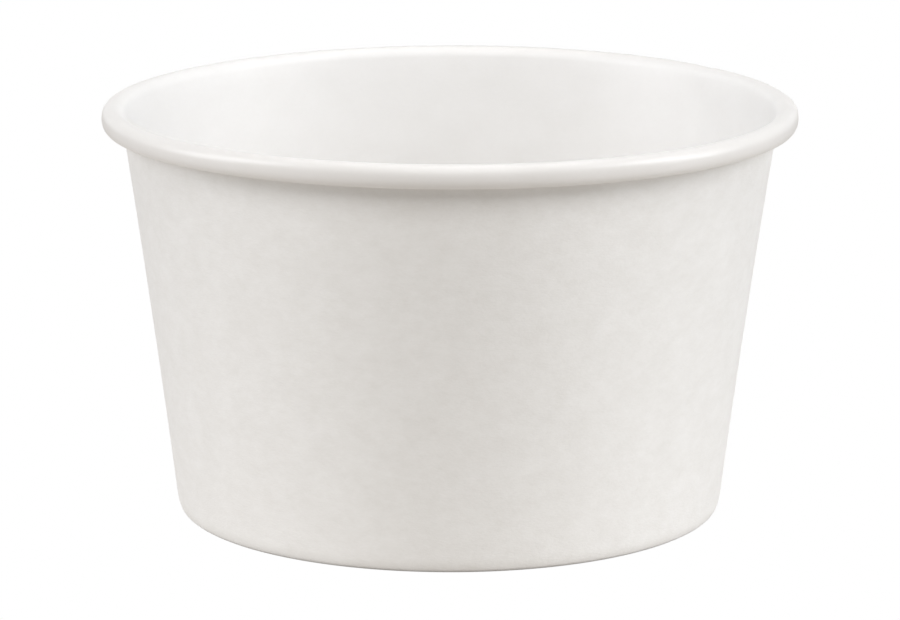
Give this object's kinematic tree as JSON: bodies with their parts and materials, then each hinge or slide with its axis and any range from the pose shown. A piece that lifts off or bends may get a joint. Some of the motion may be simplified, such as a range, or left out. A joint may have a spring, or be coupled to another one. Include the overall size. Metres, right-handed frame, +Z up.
{
  "type": "paper sundae cup",
  "caption": "Plain white paper cup for ice cream, wide and tapered, with a rolled rim bead, a lap seam and a recessed base.",
  "frame": {"origin": "centre of the foot ring, on the plane that the cup stands on", "axes": "+Z up along the cup's axis, -Y towards the viewer of the picture"},
  "size_m": [0.0959, 0.0959, 0.057],
  "materials": {
    "sidewall": "matte",
    "bottom_disc": "satin"
  },
  "bodies": {
    "root": {"sidewall": "sidewall", "bottom_disc": "bottom_disc"}
  },
  "joints": []
}
